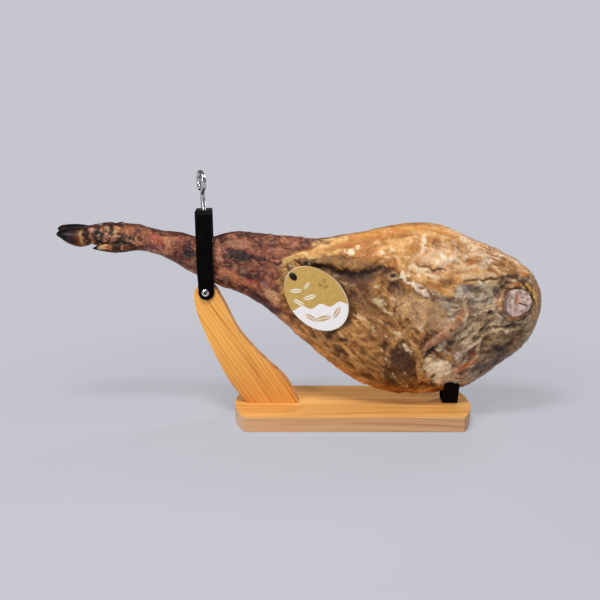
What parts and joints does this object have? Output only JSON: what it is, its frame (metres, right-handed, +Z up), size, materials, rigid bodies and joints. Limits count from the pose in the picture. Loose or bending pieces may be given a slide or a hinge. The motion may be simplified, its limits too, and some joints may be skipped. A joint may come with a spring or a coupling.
{
  "type": "cured ham clamped in a ham stand",
  "caption": "Whole dry-cured ham with hoof, held by the shank in a black steel screw bracket on a curved pine arm, its rim resting in a cradle on a pine board.",
  "frame": {"origin": "centre of the board's underside, where the stand rests", "axes": "+X along the board towards the thick end of the ham, +Y towards the skin side, +Z up; the meat face looks along -Y"},
  "size_m": [0.7676, 0.17, 0.3963],
  "materials": {
    "pine": "satin varnished pine with straight grain",
    "black_steel": "satin black powder coat",
    "zinc": "bright zinc plate",
    "cured_meat": "dry cured meat, golden fat and brown skin with grey bloom",
    "gold_card": "satin gold and white printed card",
    "black_plastic": "matte black"
  },
  "bodies": {
    "root": {"board": "pine", "arm": "pine", "bracket": "black_steel", "pivot_bolt": "zinc", "pivot_nut": "zinc", "cradle": "black_steel", "cradle_screw": "zinc", "ham": "cured_meat", "tag": "gold_card", "tag_rivet": "black_plastic"},
    "screw": {"eye_screw": "zinc"}
  },
  "joints": [
    {"name": "clamp_screw", "type": "slide", "parent": "root", "child": "screw", "axis": [-0.0662, -0.0037, 0.9978], "range_m": [0, 0.03]}
  ]
}
